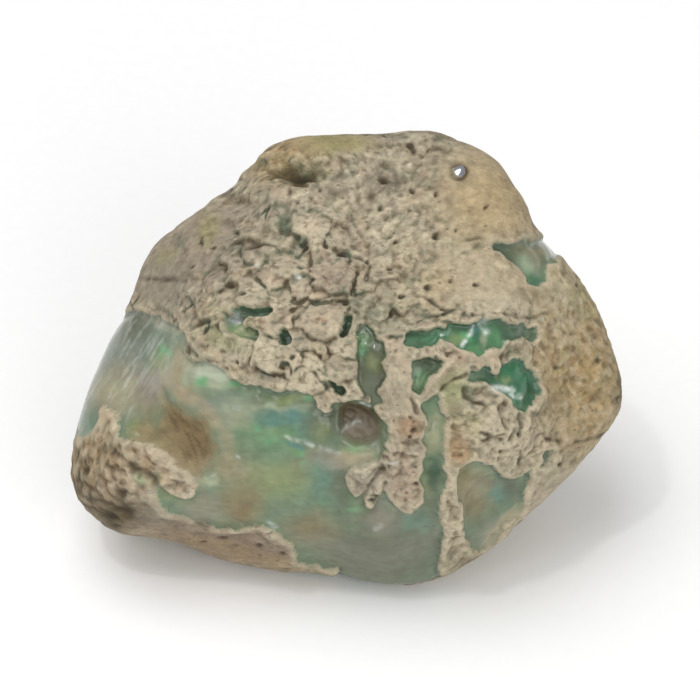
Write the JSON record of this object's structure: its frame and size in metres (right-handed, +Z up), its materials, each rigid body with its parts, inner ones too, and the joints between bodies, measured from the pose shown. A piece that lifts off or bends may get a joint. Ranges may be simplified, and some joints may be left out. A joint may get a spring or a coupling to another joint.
{
  "type": "rough opal specimen",
  "caption": "Irregular lump of rough opal with its clay rind, a broken show face that looks forward and up, and a flat face to rest on.",
  "frame": {"origin": "centre of the stone's bounding box on X and Y, on the plane of its flat resting face", "axes": "+X along the stone's longest extent, to the right as seen from the show face; -Y towards a viewer of the show face; +Z up"},
  "size_m": [0.0415, 0.0276, 0.0283],
  "materials": {
    "opal_in_rind": "dry matt clay rind over milky, glassy grey-green opal"
  },
  "bodies": {
    "root": {"rough_opal": "opal_in_rind"}
  },
  "joints": []
}
